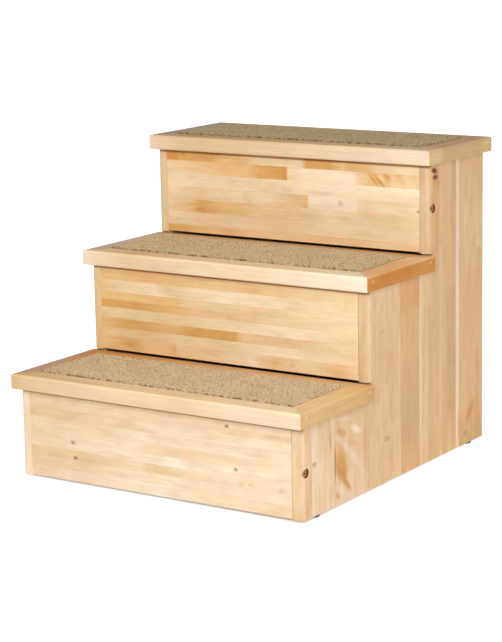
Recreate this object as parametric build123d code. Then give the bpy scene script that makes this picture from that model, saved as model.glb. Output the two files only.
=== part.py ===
from build123d import *
import os

# Pet stairs: two stepped side panels, three risers, three framed treads with a carpet inlay.
# Millimetres. +X is to the right as seen from the front, -Y is the front, +Z is up.
# The origin is on the floor, under the middle of the plan outline.

# Driving dimensions of the stairs
tier_names = ("lower", "middle", "upper")
tread_width = 400.0
tread_thickness = 18.0
run = 143.0
rise = 125.0
front_overhang = 11.0
rear_overhang = 13.0
side_overhang = 5.0
tread_tuck = 5.0

# Side panels
panel_thickness = 14.0
panel_front_round = 6.5
panel_edge_round = 1.5
notch_back_clearance = 0.5
notch_top_clearance = 2.0

# Risers
riser_thickness = 14.0
riser_setback = 0.5
riser_floor_gap = 1.0
riser_tread_gap = 3.4

# Tread frames, their base boards and carpets
rail_width = 26.0
rail_top_round = 3.0
rail_bottom_round = 2.0
rail_corner_round = 2.0
rebate_width = 10.0
base_board_thickness = 12.0
base_board_clearance = 0.2
carpet_proud = 2.0
carpet_clearance = 0.3
carpet_edge_round = 1.6
mitre_pin_diameter = 4.0
mitre_pin_length = 30.0
mitre_pin_wall = 1.5
mitre_pin_below_top = 6.4

# Closed back
back_panel_thickness = 6.0
back_panel_inset = 8.0
groove_depth = 5.0
groove_clearance = 0.2
back_panel_end_gap = 1.0
rear_rail_thickness = 14.0
rear_top_rail_height = 30.0
rear_stretcher_height = 45.0

# Cleats under the treads
cleat_width = 20.0
cleat_height = 16.0
cleat_end_gap = 2.0

# Blunt connecting screws through the side panels into the ends of the lower and upper risers
screwed_tiers = ("lower", "upper")
screw_diameter = 5.0
screw_length = 50.0
screw_head_diameter = 9.0
screw_head_height = 3.0
counterbore_diameter = 10.6
counterbore_depth = 4.5

# Cross recess in the screw head
recess_width = 1.2
recess_depth = 1.4
recess_span_share = 0.62

# Loose tenons in the board ends
tenon_thickness = 5.0
tenon_width = 16.0
tenon_length = 24.0
tenon_in_panel = 8.0
riser_tenon_spacing = 70.0

# Stick-on glides
glide_height = 2.5
glide_edge_chamfer = 0.8
front_glide_inset = 32.0
rear_glide_inset = 33.0

# Running clearance of pins, screws and tenons in their holes, and the overrun of every cut
fastener_clearance = 0.08
cut_overrun = 5.0

# Derived sizes
tiers = range(len(tier_names))
tread_depth = front_overhang + run + tread_tuck
overall_depth = run * (len(tier_names) - 1) + tread_depth
body_half_width = tread_width / 2 - side_overhang
inner_half_width = body_half_width - panel_thickness
body_back = overall_depth / 2 - rear_overhang
lip_thickness = tread_thickness - base_board_thickness
mitre_pin_from_end = rail_width - rebate_width - mitre_pin_wall - mitre_pin_diameter / 2
opening_width = tread_width - 2 * rail_width
opening_depth = tread_depth - 2 * rail_width
groove_front = body_back - back_panel_inset - back_panel_thickness - groove_clearance
rear_rail_front = groove_front - rear_rail_thickness
riser_mid_inset = riser_setback + riser_thickness / 2
glide_radius = panel_thickness / 2


def tread_front(tier):
    return run * tier - overall_depth / 2


def tread_top(tier):
    return rise * (tier + 1)


def deck(tier):
    return tread_top(tier) - tread_thickness


def body_front(tier):
    return tread_front(tier) + front_overhang


def riser_bottom(tier):
    if tier == 0:
        return glide_height + riser_floor_gap
    return tread_top(tier - 1) + riser_tread_gap


def riser_middle(tier):
    return (riser_bottom(tier) + deck(tier)) / 2


cleat_back = rear_rail_front - body_front(tiers[-1]) - cleat_end_gap
cleat_front = riser_setback + riser_thickness + cleat_end_gap
cleat_length = cleat_back - cleat_front


def block(x_range, y_range, z_range):
    # A board given by its two faces along each axis
    centre = [(low + high) / 2 for low, high in (x_range, y_range, z_range)]
    size = [high - low for low, high in (x_range, y_range, z_range)]
    return Pos(*centre) * Box(*size)


def rod(start, direction, radius, length):
    # A round bar that begins at start and runs along direction
    return extrude(Plane(start, z_dir=direction) * Circle(radius), amount=length)


def both_sides(solid):
    # The same piece on the left and on the right
    return [mirror(solid, Plane.YZ), solid]


def save(node, *solids):
    shape = solids[0] if len(solids) == 1 else Compound(children=list(solids))
    export_step(shape, f"parts/{node}.step")


def screw_start(tier):
    # Head on the floor of the counterbore of the right panel, end towards the middle
    x = body_half_width - counterbore_depth + screw_head_height
    return (x, body_front(tier) + riser_mid_inset, riser_middle(tier))


def screwed(tier):
    return tier_names[tier] in screwed_tiers


def screw():
    # A turned screw along +Z, the flat of its head at zero, with a cross recess
    head_radius = screw_head_diameter / 2
    shank_radius = screw_diameter / 2
    profile = Polyline(
        (0, 0),
        (head_radius, 0),
        (head_radius, screw_head_height),
        (shank_radius, screw_head_height),
        (shank_radius, screw_length),
        (0, screw_length),
        close=True,
    )
    blank = revolve(make_face(Plane.XZ * profile), axis=Axis.Z)
    slot = Pos(0, 0, recess_depth / 2) * Box(screw_head_diameter * recess_span_share, recess_width, recess_depth)
    return blank - slot - Rot(0, 0, 90) * slot


def screw_hole(tier):
    radius = screw_diameter / 2 + fastener_clearance
    return rod(screw_start(tier), (-1, 0, 0), radius, screw_length + fastener_clearance)


def end_tenon(y, z, grow=0.0):
    # A loose tenon across the joint between a board end and the right panel
    outer = inner_half_width + tenon_in_panel
    return block(
        (outer - tenon_length - grow, outer + grow),
        (y - tenon_thickness / 2 - grow, y + tenon_thickness / 2 + grow),
        (z - tenon_width / 2 - grow, z + tenon_width / 2 + grow),
    )


def riser_tenon_places(tier):
    y = body_front(tier) + riser_mid_inset
    return [(y, riser_middle(tier) + z) for z in (-riser_tenon_spacing / 2, riser_tenon_spacing / 2)]


def rear_tenon_places():
    y = rear_rail_front + rear_rail_thickness / 2
    stretcher = glide_height + riser_floor_gap + rear_stretcher_height / 2
    top_rail = deck(tiers[-1]) - rear_top_rail_height / 2
    return [(y, stretcher), (y, top_rail)]


def mortises(places):
    return [end_tenon(y, z, grow=fastener_clearance) for y, z in places]


def glide_places():
    x = body_half_width - glide_radius
    return [(x, body_front(0) + front_glide_inset), (x, body_back - rear_glide_inset)]


def panel_outline():
    # The stepped outline, with an undercut notch behind the rear edge of each lower tread
    notch_depth = tread_tuck + notch_back_clearance
    points = [(body_front(0), glide_height)]
    for tier in tiers[:-1]:
        notch_back = body_front(tier + 1) + notch_depth
        notch_top = tread_top(tier) + notch_top_clearance
        points += [
            (body_front(tier), deck(tier)),
            (notch_back, deck(tier)),
            (notch_back, notch_top),
            (body_front(tier + 1), notch_top),
        ]
    points += [(body_front(tiers[-1]), deck(tiers[-1])), (body_back, deck(tiers[-1])), (body_back, glide_height)]
    return Polyline(*points, close=True)


def round_over(corner, into, radius, z_range):
    # The waste outside a rounded upright edge; into gives the signs of the way into the board
    reach = (radius - cut_overrun) / 2
    square = Pos(into[0] * reach, into[1] * reach) * Rectangle(radius + cut_overrun, radius + cut_overrun)
    waste = square - Pos(into[0] * radius, into[1] * radius) * Circle(radius)
    return Pos(*corner, z_range[0]) * extrude(waste, amount=z_range[1] - z_range[0])


def panel_round_overs():
    cutters = []
    for tier in tiers:
        low = deck(tier - 1) if tier else 0
        upright = (low, deck(tier))
        front = body_front(tier)
        cutters.append(round_over((body_half_width, front), (-1, 1), panel_front_round, upright))
        cutters.append(round_over((inner_half_width, front), (1, 1), panel_edge_round, upright))
    full = (0, deck(tiers[-1]))
    cutters.append(round_over((body_half_width, body_back), (-1, -1), panel_edge_round, full))
    cutters.append(round_over((inner_half_width, body_back), (1, -1), panel_edge_round, full))
    return cutters


def right_side_panel():
    outline = make_face(Plane.YZ * panel_outline())
    panel = Pos(inner_half_width, 0, 0) * extrude(outline, amount=panel_thickness, dir=(1, 0, 0))
    for cutter in panel_round_overs():
        panel -= cutter
    panel -= block(
        (inner_half_width - cut_overrun, inner_half_width + groove_depth),
        (groove_front, groove_front + back_panel_thickness + groove_clearance),
        (glide_height - cut_overrun, deck(tiers[-1]) + cut_overrun),
    )
    for tier in tiers:
        for mortise in mortises(riser_tenon_places(tier)):
            panel -= mortise
        if screwed(tier):
            panel -= counterbore(tier)
            panel -= screw_hole(tier)
    for mortise in mortises(rear_tenon_places()):
        panel -= mortise
    return panel


def counterbore(tier):
    start = (body_half_width + cut_overrun, body_front(tier) + riser_mid_inset, riser_middle(tier))
    return rod(start, (-1, 0, 0), counterbore_diameter / 2, counterbore_depth + cut_overrun)


def riser(tier):
    board = block(
        (-inner_half_width, inner_half_width),
        (body_front(tier) + riser_setback, body_front(tier) + riser_setback + riser_thickness),
        (riser_bottom(tier), deck(tier)),
    )
    for mortise in mortises(riser_tenon_places(tier)):
        for cutter in both_sides(mortise):
            board -= cutter
    if screwed(tier):
        for cutter in both_sides(screw_hole(tier)):
            board -= cutter
    return board


def rail_profile():
    # Outer face at zero, top at zero, with the rebate for the base board under the inner edge
    seat = rail_width - rebate_width
    outline = Polyline(
        (0, -tread_thickness),
        (seat, -tread_thickness),
        (seat, -lip_thickness),
        (rail_width, -lip_thickness),
        (rail_width, 0),
        (0, 0),
        close=True,
    )
    face = make_face(outline)
    for height, radius in ((0, rail_top_round), (-tread_thickness, rail_bottom_round)):
        corner = face.vertices().sort_by_distance((0, height, 0))[0]
        face = fillet([corner], radius)
    return face


def mitred_rail(length):
    # A rail along X, its outer face towards -Y, both ends mitred
    bar = Pos(-length / 2, 0, 0) * extrude(Plane.YZ * rail_profile(), amount=length)
    mitres = Polyline(
        (-length / 2, 0),
        (length / 2, 0),
        (length / 2 - rail_width, rail_width),
        (-length / 2 + rail_width, rail_width),
        close=True,
    )
    wedge = Pos(0, 0, -tread_thickness) * extrude(make_face(mitres), amount=tread_thickness)
    return bar & wedge


def mitre_pin_places():
    # Driven in through the side rails, near the front and the rear of the frame
    x = tread_width / 2
    reach = tread_depth / 2 - mitre_pin_from_end
    return [(x, y, -mitre_pin_below_top) for y in (-reach, reach)]


def mitre_pin(place, grow=0.0):
    return rod(place, (-1, 0, 0), mitre_pin_diameter / 2 + grow, mitre_pin_length + grow)


def tread_rails():
    # The four rails round the middle of the tread's top
    corners = RectangleRounded(tread_width, tread_depth, rail_corner_round)
    plan = Pos(0, 0, -tread_thickness) * extrude(corners, amount=tread_thickness)
    sides = {
        "front_rail": (0, tread_width, tread_depth),
        "right_rail": (90, tread_depth, tread_width),
        "back_rail": (180, tread_width, tread_depth),
        "left_rail": (270, tread_depth, tread_width),
    }
    rails = {}
    for name, (turn, length, across) in sides.items():
        rail = Rot(0, 0, turn) * Pos(0, -across / 2, 0) * mitred_rail(length)
        rail = rail & plan
        for place in mitre_pin_places():
            for cutter in both_sides(mitre_pin(place, grow=fastener_clearance)):
                rail -= cutter
        rails[name] = rail
    return rails


def base_board():
    width = opening_width + 2 * (rebate_width - base_board_clearance)
    depth = opening_depth + 2 * (rebate_width - base_board_clearance)
    return Pos(0, 0, -tread_thickness + base_board_thickness / 2) * Box(width, depth, base_board_thickness)


def carpet():
    # Lies on the base board inside the frame and stands a little proud of the rails
    height = lip_thickness + carpet_proud
    width = opening_width - 2 * carpet_clearance
    depth = opening_depth - 2 * carpet_clearance
    pad = Pos(0, 0, carpet_proud - height / 2) * Box(width, depth, height)
    return fillet(pad.faces().sort_by(Axis.Z)[-1].edges(), carpet_edge_round)


def tread_middle(tier):
    return Pos(0, tread_front(tier) + tread_depth / 2, tread_top(tier))


def save_tread(tier):
    name = f"tread_{tier_names[tier]}"
    place = tread_middle(tier)
    for rail_name, rail in tread_rails().items():
        save(f"{name}_{rail_name}", place * rail)
    save(f"{name}_base_board", place * base_board())
    save(f"{name}_carpet", place * carpet())
    pins = [place * pin for spot in mitre_pin_places() for pin in both_sides(mitre_pin(spot))]
    save(f"{name}_mitre_pins", *pins)


def right_cleat(tier):
    return block(
        (inner_half_width - cleat_width, inner_half_width),
        (body_front(tier) + cleat_front, body_front(tier) + cleat_front + cleat_length),
        (deck(tier) - cleat_height, deck(tier)),
    )


def save_cleats():
    for tier in tiers:
        left, right = both_sides(right_cleat(tier))
        save(f"cleat_{tier_names[tier]}_left", left)
        save(f"cleat_{tier_names[tier]}_right", right)


def save_riser_screws():
    screws = []
    for tier in tiers:
        if screwed(tier):
            screws += both_sides(Plane(screw_start(tier), z_dir=(-1, 0, 0)) * screw())
    save("riser_screws", *screws)


def rear_rail(bottom, height):
    rail = block(
        (-inner_half_width, inner_half_width),
        (rear_rail_front, rear_rail_front + rear_rail_thickness),
        (bottom, bottom + height),
    )
    for mortise in mortises(rear_tenon_places()):
        for cutter in both_sides(mortise):
            rail -= cutter
    return rail


def save_back():
    reach = inner_half_width + groove_depth - groove_clearance
    front = groove_front + groove_clearance / 2
    top = deck(tiers[-1])
    panel = block(
        (-reach, reach),
        (front, front + back_panel_thickness),
        (glide_height + back_panel_end_gap, top - back_panel_end_gap),
    )
    save("back_panel", panel)
    save("rear_stretcher", rear_rail(glide_height + riser_floor_gap, rear_stretcher_height))
    save("rear_top_rail", rear_rail(top - rear_top_rail_height, rear_top_rail_height))


def save_tenons():
    riser_tenons = []
    for tier in tiers:
        for y, z in riser_tenon_places(tier):
            riser_tenons += both_sides(end_tenon(y, z))
    save("riser_tenons", *riser_tenons)
    rear_tenons = []
    for y, z in rear_tenon_places():
        rear_tenons += both_sides(end_tenon(y, z))
    save("rear_rail_tenons", *rear_tenons)


def glide(x, y):
    disc = rod((x, y, 0), (0, 0, 1), glide_radius, glide_height)
    rim = disc.faces().sort_by(Axis.Z)[0].edges()
    return chamfer(rim, glide_edge_chamfer)


def save_glides():
    glides = []
    for x, y in glide_places():
        glides += both_sides(glide(x, y))
    save("glides", *glides)


os.makedirs("parts", exist_ok=True)
left_panel, right_panel = both_sides(right_side_panel())
save("side_panel_left", left_panel)
save("side_panel_right", right_panel)
for tier in tiers:
    save(f"riser_{tier_names[tier]}", riser(tier))
    save_tread(tier)
save_cleats()
save_riser_screws()
save_back()
save_tenons()
save_glides()
print("overall size", tread_width, overall_depth, round(tread_top(tiers[-1]) + carpet_proud, 2))
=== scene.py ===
# Pet stairs with three carpeted treads: materials, carpet pile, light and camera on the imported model.
import math
import random

import bpy
import numpy as np
from mathutils import Matrix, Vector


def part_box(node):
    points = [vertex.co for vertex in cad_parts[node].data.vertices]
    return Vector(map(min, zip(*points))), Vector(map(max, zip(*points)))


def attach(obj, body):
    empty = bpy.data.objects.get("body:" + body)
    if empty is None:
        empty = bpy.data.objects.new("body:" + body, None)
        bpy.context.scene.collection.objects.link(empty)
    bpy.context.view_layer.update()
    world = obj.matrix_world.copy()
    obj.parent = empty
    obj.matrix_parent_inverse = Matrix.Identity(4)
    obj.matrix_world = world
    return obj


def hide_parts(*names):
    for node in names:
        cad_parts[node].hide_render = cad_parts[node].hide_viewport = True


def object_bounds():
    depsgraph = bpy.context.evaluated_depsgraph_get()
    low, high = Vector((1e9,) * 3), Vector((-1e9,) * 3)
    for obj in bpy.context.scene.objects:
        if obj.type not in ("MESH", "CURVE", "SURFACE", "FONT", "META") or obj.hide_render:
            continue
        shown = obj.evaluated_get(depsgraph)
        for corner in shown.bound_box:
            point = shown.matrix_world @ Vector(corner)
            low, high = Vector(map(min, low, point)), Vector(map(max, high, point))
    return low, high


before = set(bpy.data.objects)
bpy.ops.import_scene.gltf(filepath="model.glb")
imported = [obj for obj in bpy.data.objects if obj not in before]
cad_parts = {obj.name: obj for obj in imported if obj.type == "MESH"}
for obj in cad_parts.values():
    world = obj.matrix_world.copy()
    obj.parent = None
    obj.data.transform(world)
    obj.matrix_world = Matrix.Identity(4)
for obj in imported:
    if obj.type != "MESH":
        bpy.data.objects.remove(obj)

cad_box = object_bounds()

# Lengths are millimetres of the model, and MM turns them into metres.
MM = 0.001

# The axes run to the right, from the front back, and up.
SIDE, FRONT, UP = 0, 1, 2

TIERS = ("lower", "middle", "upper")
RAIL_SIDES = ("front", "right", "back", "left")

# The photograph's camera: its place, its turns in radians, its focal length on the image's long side, and the
# nearest and farthest that it sees, in metres.
CAMERA_PLACE = (1344.13, -2030.56, 668.16)
CAMERA_YAW = 0.58769
CAMERA_PITCH = 0.20291
CAMERA_ROLL = -0.01909
FOCAL_LENGTH = 116.25
SENSOR_WIDTH = 36.0
CAMERA_REACH = (0.05, 200.0)

# Soft studio light: a near softbox in front, to the right and above, and a surround that is darker behind,
# with a pale band at the horizon.
LIGHT_AZIMUTH = 0.44
KEY_DISTANCE = 1300.0
KEY_HEIGHT = 750.0
KEY_AIM_HEIGHT = 180.0
KEY_SIZE = 380.0
KEY_POWER = 7.9
SURROUND_FRONT = 1.2
SURROUND_BACK = 0.0
SURROUND_TONE = (1.0, 0.965, 0.91, 1.0)
HORIZON_GLOW = 0.9
HORIZON_SINES = (0.02, 0.1)

# The floor and its glow, which goes from lit to shaded between two distances towards the light, and fades out
# under the stairs, at two distances from their middle.
FLOOR_HALF_WIDTH = 40000.0
FLOOR_TONE = (0.86, 0.86, 0.86, 1.0)
FLOOR_GLOW_TONE = (0.86, 1.0, 1.18, 1.0)
FLOOR_GLOW_LIT = 0.28
FLOOR_GLOW_SHADED = 0.86
FLOOR_GLOW_RUN = (250.0, -350.0)
FLOOR_GLOW_EDGES = (185.0, 200.0)
FLOOR_GLOW_FADE = 6.0

# Wood tones in front light, in 8-bit screen values, named.
TONES = {
    "cream": (250, 233, 207),
    "ivory": (247, 223, 190),
    "pale": (243, 214, 175),
    "blush": (244, 212, 177),
    "straw": (237, 204, 157),
    "honey": (233, 195, 145),
    "peach": (234, 189, 134),
    "oat": (220, 184, 136),
    "tan": (228, 179, 116),
    "amber": (219, 160, 90),
    "rust": (211, 143, 72),
    "russet": (208, 130, 64),
    "mauve": (206, 164, 128),
    "umber": (176, 126, 86),
    "bark": (88, 38, 8),
    "grey": (164, 140, 112),
}

# The screen's curve from values to light: its white value, and its straight foot below the curve.
SCREEN_WHITE = 255.0
FOOT_END = 0.04045
FOOT_SLOPE = 12.92
CURVE_LIFT = 0.055
CURVE_POWER = 2.4

WHITE = (1.0, 1.0, 1.0, 1.0)

# The mix node's sockets for its two colours and for their mix.
MIX_COLOURS = (6, 7)
MIX_RESULT = 2

# The cosines between which a rounded edge goes from one face's finish to the next one's.
FACING_RUN = (0.08, 0.75)


# Short calls for shader nodes.


class Finish:
    """One material and the few kinds of node that the finishes use."""

    def __init__(self, name):
        self.material = bpy.data.materials.new(name)
        self.material.use_nodes = True
        self.nodes = self.material.node_tree.nodes
        self.links = self.material.node_tree.links
        self.nodes.clear()
        output = self.nodes.new("ShaderNodeOutputMaterial")
        self.shader = self.nodes.new("ShaderNodeBsdfPrincipled")
        self.links.new(self.shader.outputs["BSDF"], output.inputs["Surface"])

    def put(self, socket, value):
        """Sets a socket to a number or a colour, or links it to another node's output."""
        if isinstance(value, bpy.types.NodeSocket):
            self.links.new(value, socket)
        else:
            socket.default_value = value

    def maths(self, operation, *values):
        node = self.nodes.new("ShaderNodeMath")
        node.operation = operation
        for socket, value in zip(node.inputs, values):
            self.put(socket, value)
        return node.outputs[0]

    def parts(self, vector):
        """The three parts of a vector."""
        node = self.nodes.new("ShaderNodeSeparateXYZ")
        self.links.new(vector, node.inputs[0])
        return node.outputs

    def place(self):
        """The three coordinates of the surface in millimetres of the model."""
        coordinates = self.nodes.new("ShaderNodeTexCoord").outputs["Object"]
        return [self.maths("DIVIDE", part, MM) for part in self.parts(coordinates)]

    def vector(self, *values):
        node = self.nodes.new("ShaderNodeCombineXYZ")
        for socket, value in zip(node.inputs, values):
            self.put(socket, value)
        return node.outputs[0]

    def attribute(self, name):
        """A value that each point of the mesh carries."""
        node = self.nodes.new("ShaderNodeAttribute")
        node.attribute_name = name
        return node.outputs["Fac"]

    def noise(self, vector, detail, distortion=0.0):
        node = self.nodes.new("ShaderNodeTexNoise")
        node.inputs["Scale"].default_value = 1.0
        node.inputs["Detail"].default_value = detail
        node.inputs["Distortion"].default_value = distortion
        self.put(node.inputs["Vector"], vector)
        return node.outputs["Fac"]

    def specks(self, place, size, detail):
        """Noise with the same size every way, in millimetres."""
        return self.noise(self.vector(*[self.maths("DIVIDE", part, size) for part in place]), detail)

    def spread(self, value, start, end, low, high):
        """value from start to end becomes low to high, and stays there outside."""
        node = self.nodes.new("ShaderNodeMapRange")
        for socket, number in zip(node.inputs, (value, start, end, low, high)):
            self.put(socket, number)
        return node.outputs[0]

    def mix(self, share, first, second, blend="MIX"):
        node = self.nodes.new("ShaderNodeMix")
        node.data_type = "RGBA"
        node.blend_type = blend
        self.put(node.inputs[0], share)
        for number, colour in zip(MIX_COLOURS, (first, second)):
            self.put(node.inputs[number], colour)
        return node.outputs[MIX_RESULT]

    def times(self, colour, other):
        """A colour times another."""
        return self.mix(1.0, colour, other, "MULTIPLY")

    def tint(self, colour, shares):
        """A colour times shares of red, green and blue."""
        return self.times(colour, opaque(shares))

    def shade(self, colour, share):
        """A colour times one share, which may come from a node."""
        return self.times(colour, self.vector(share, share, share))

    def ramp(self, value, stops, start, end):
        """The tones at the stops along a stave, with value, start and end in the stops' own unit."""
        node = self.nodes.new("ShaderNodeValToRGB")
        elements = node.color_ramp.elements
        elements.remove(elements[1])
        for number, (place, tone) in enumerate(stops):
            share = (place - start) / (end - start)
            element = elements[0] if number == 0 else elements.new(share)
            element.position = share
            element.color = linear(tone)
        self.put(node.inputs[0], self.spread(value, start, end, 0.0, 1.0))
        return node.outputs[0]

    def facing(self, axis, sign):
        """1 where the surface faces along an axis, 0 elsewhere, with a soft change over rounded edges."""
        normal = self.nodes.new("ShaderNodeNewGeometry").outputs["True Normal"]
        return self.spread(self.maths("MULTIPLY", self.parts(normal)[axis], sign), *FACING_RUN, 0.0, 1.0)

    def bump(self, height, distance, strength):
        node = self.nodes.new("ShaderNodeBump")
        node.inputs["Strength"].default_value = strength
        node.inputs["Distance"].default_value = distance * MM
        self.put(node.inputs["Height"], height)
        self.put(self.shader.inputs["Normal"], node.outputs[0])


def linear(tone):
    """A named tone or an 8-bit screen colour as linear light."""
    screen = TONES[tone] if isinstance(tone, str) else tone
    return opaque([light_share(value / SCREEN_WHITE) for value in screen])


def light_share(screen_share):
    """The share of full light that a share of the screen's white value stands for."""
    if screen_share <= FOOT_END:
        return screen_share / FOOT_SLOPE
    return ((screen_share + CURVE_LIFT) / (1.0 + CURVE_LIFT)) ** CURVE_POWER


def opaque(shares):
    """A colour of red, green and blue shares that lets nothing through."""
    return (*shares, 1.0)


# Edge-glued boards: staves side by side, each with tones along its length.

# The risers' staves, seen in the photograph, from the top down: (height of the lower edge, stops). A stop is
# (x, tone), and beyond its first and last stop a stave keeps their tones.
RISER_STAVES = {
    "upper": (
        (343.5, ((-166, "rust"), (-160, "amber"), (-112, "amber"), (-98, "tan"), (-72, "tan"), (-56, "honey"),
                 (18, "straw"), (26, "amber"), (58, "amber"), (66, "tan"), (78, "peach"), (84, "tan"),
                 (110, "tan"), (120, "honey"), (150, "straw"))),
        (327.5, ((-182, "honey"), (-130, "peach"), (-88, "tan"), (-60, "tan"), (-42, "amber"), (-20, "amber"),
                 (-3, "rust"), (-1, "straw"), (20, "pale"), (92, "pale"), (100, "honey"), (110, "peach"),
                 (113, "tan"), (140, "tan"), (146, "honey"), (160, "peach"), (166, "honey"))),
        (311.0, ((-20, "straw"), (60, "pale"))),
        (295.0, ((-182, "straw"), (-140, "honey"), (-124, "peach"), (-112, "honey"), (-70, "straw"),
                 (-64, "honey"), (-40, "straw"), (-14, "honey"), (0, "peach"), (27, "tan"), (28, "pale"),
                 (96, "pale"), (97, "straw"))),
        (279.0, ((-182, "honey"), (-166, "peach"), (-142, "tan"), (-130, "amber"), (-104, "tan"),
                 (-70, "tan"), (-50, "peach"), (10, "honey"), (60, "straw"), (120, "honey"))),
        (262.5, ((-182, "straw"), (-120, "honey"), (0, "honey"), (60, "straw"))),
        (253.0, ((-182, "amber"), (-130, "tan"), (-60, "peach"), (60, "peach"), (150, "honey"))),
    ),
    "middle": (
        (215.0, ((-90, "tan"), (-40, "peach"), (60, "peach"), (120, "honey"))),
        (200.0, ((-182, "peach"), (-158, "honey"), (-130, "straw"), (-100, "pale"), (-80, "honey"),
                 (-48, "straw"), (0, "pale"), (100, "straw"))),
        (190.0, ((-78, "tan"), (-56, "honey"), (60, "honey"), (110, "straw"))),
        (180.5, ((-120, "amber"), (-66, "tan"), (-46, "peach"), (50, "honey"), (96, "straw"))),
        (167.5, ((-60, "honey"), (0, "straw"), (90, "pale"), (182, "straw"))),
        (156.0, ((-182, "tan"), (-140, "amber"), (-80, "tan"), (-48, "amber"), (14, "amber"), (24, "peach"),
                 (36, "honey"), (120, "honey"), (182, "straw"))),
        (144.0, ((-128, "peach"), (-84, "honey"), (0, "straw"), (90, "pale"), (182, "straw"))),
        (128.0, ((-182, "peach"), (-148, "tan"), (-128, "tan"), (-116, "peach"), (-78, "peach"), (-73, "tan"),
                 (-71, "honey"), (-10, "honey"), (40, "pale"), (60, "honey"), (68, "peach"), (78, "honey"),
                 (110, "straw"), (140, "honey"), (152, "peach"), (168, "honey"), (182, "straw"))),
    ),
    "lower": (
        (87.5, ((-60, "pale"), (20, "blush"))),
        (75.5, ((-120, "straw"), (-70, "pale"), (40, "ivory"))),
        (63.0, ((-70, "pale"), (-34, "ivory"))),
        (51.5, ((-182, "pale"), (-30, "ivory"), (0, "pale"), (90, "pale"), (182, "ivory"))),
        (40.0, ((-182, "pale"), (-60, "ivory"), (6, "ivory"), (16, "cream"), (182, "ivory"))),
        (29.0, ((-112, "straw"), (-60, "pale"), (-20, "pale"), (-14, "straw"), (16, "straw"), (40, "pale"),
                (182, "ivory"))),
        (17.0, ((-80, "pale"), (20, "ivory"))),
        (3.0, ((-182, "blush"), (-40, "ivory"), (-6, "cream"), (14, "cream"), (24, "ivory"), (182, "pale"))),
    ),
}
RISER_TOPS = {"upper": 357.0, "middle": 232.0, "lower": 107.0}

# Knots and spots on the risers: (x, height, radius along, radius across, tone, strength share), and where
# they slant, how far along per across.
RISER_MARKS = {
    "upper": (
        (73, 304, 4.0, 3.4, "mauve", 0.9),
        (73, 304, 2.4, 2.0, "straw", 0.8),
        (179, 301, 2.4, 2.0, "umber", 0.8),
        (-155, 292, 12.0, 2.6, "honey", 0.6),
        (-133, 283, 11.0, 3.0, "rust", 0.75),
        (-140, 289, 9.0, 2.2, "amber", 0.6),
        (119, 335, 2.6, 8.5, "rust", 0.8, -0.87),
        (126, 334.5, 2.6, 8.5, "rust", 0.85, -0.87),
        (131, 331, 1.8, 5.0, "umber", 0.4, -0.87),
        (129.5, 338, 1.4, 7.0, "pale", 0.5, -0.87),
        (137, 339.5, 4.4, 3.8, "rust", 0.75, -0.5),
        (153, 340, 6.0, 4.0, "amber", 0.45, -0.3),
        (156, 333, 7.0, 4.0, "tan", 0.5),
        (173, 341, 8.0, 2.2, "tan", 0.6),
        (-156, 351, 5.0, 3.0, "russet", 0.6),
        (-178, 348, 6.0, 4.0, "russet", 0.4),
        (-20, 335, 15.0, 5.0, "rust", 0.5),
    ),
    "middle": (
        (-140, 137, 9.0, 4.0, "amber", 0.6),
        (-76, 138, 8.0, 3.0, "amber", 0.5),
        (71, 137, 7.0, 4.6, "tan", 0.5),
        (93, 137, 4.0, 3.6, "tan", 0.5),
        (150, 136, 13.0, 4.6, "tan", 0.5),
    ),
    "lower": (
        (97, 97, 3.0, 2.4, "bark", 0.6),
        (155, 93, 13.0, 2.2, "peach", 0.5),
        (160, 98, 9.0, 1.6, "peach", 0.35),
        (-119, 50, 3.4, 2.6, "grey", 0.75),
        (-116, 32, 3.4, 2.2, "bark", 0.65),
        (108, 49, 3.0, 2.2, "grey", 0.85),
        (115, 33, 3.6, 2.4, "honey", 0.7),
        (127, 34, 3.4, 2.4, "honey", 0.7),
        (167, 33, 4.0, 2.6, "honey", 0.7),
        (-24, 69, 12.0, 4.0, "cream", 0.8),
        (5, 12, 11.0, 4.4, "cream", 0.9),
    ),
}

# The lower tread's front, where the distances in the panels' tables start.
PANEL_ORIGIN = cad_box[0][FRONT] / MM

# The right panel's staves, from the front back: (distance of the rear seam, stops). A stop is (height, tone).
PANEL_STAVES = (
    (30.0, ((0, "honey"), (60, "straw"))),
    (43.0, ((0, "ivory"),)),
    (56.0, ((60, "blush"), (107, "straw"))),
    (68.0, ((0, "blush"), (40, "pale"), (107, "straw"))),
    (78.0, ((0, "blush"), (50, "pale"), (80, "straw"), (107, "pale"))),
    (150.0, ((0, "pale"), (30, "blush"), (60, "straw"), (80, "straw"), (107, "honey"))),
    (155.0, ((120, "straw"), (130, "honey"))),
    (221.0, ((80, "straw"), (150, "honey"), (232, "straw"))),
    (226.0, ((0, "pale"), (180, "straw"))),
    (271.0, ((0, "peach"), (70, "oat"), (180, "peach"), (200, "tan"))),
    (276.0, ((0, "pale"), (120, "ivory"), (232, "pale"))),
    (294.0, ((0, "straw"),)),
    (299.0, ((0, "peach"), (180, "honey"), (250, "straw"))),
    (319.0, ((180, "honey"), (280, "peach"))),
    (327.0, ((0, "straw"),)),
    (339.0, ((0, "honey"),)),
    (349.0, ((0, "straw"), (60, "oat"), (180, "oat"), (240, "honey"), (357, "straw"))),
    (361.0, ((0, "honey"), (60, "tan"), (150, "oat"), (240, "peach"), (357, "oat"))),
    (369.5, ((0, "ivory"), (60, "cream"), (200, "cream"), (357, "ivory"))),
    (434.0, ((0, "oat"), (40, "peach"), (60, "honey"), (200, "honey"), (280, "straw"), (357, "honey"))),
)

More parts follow.
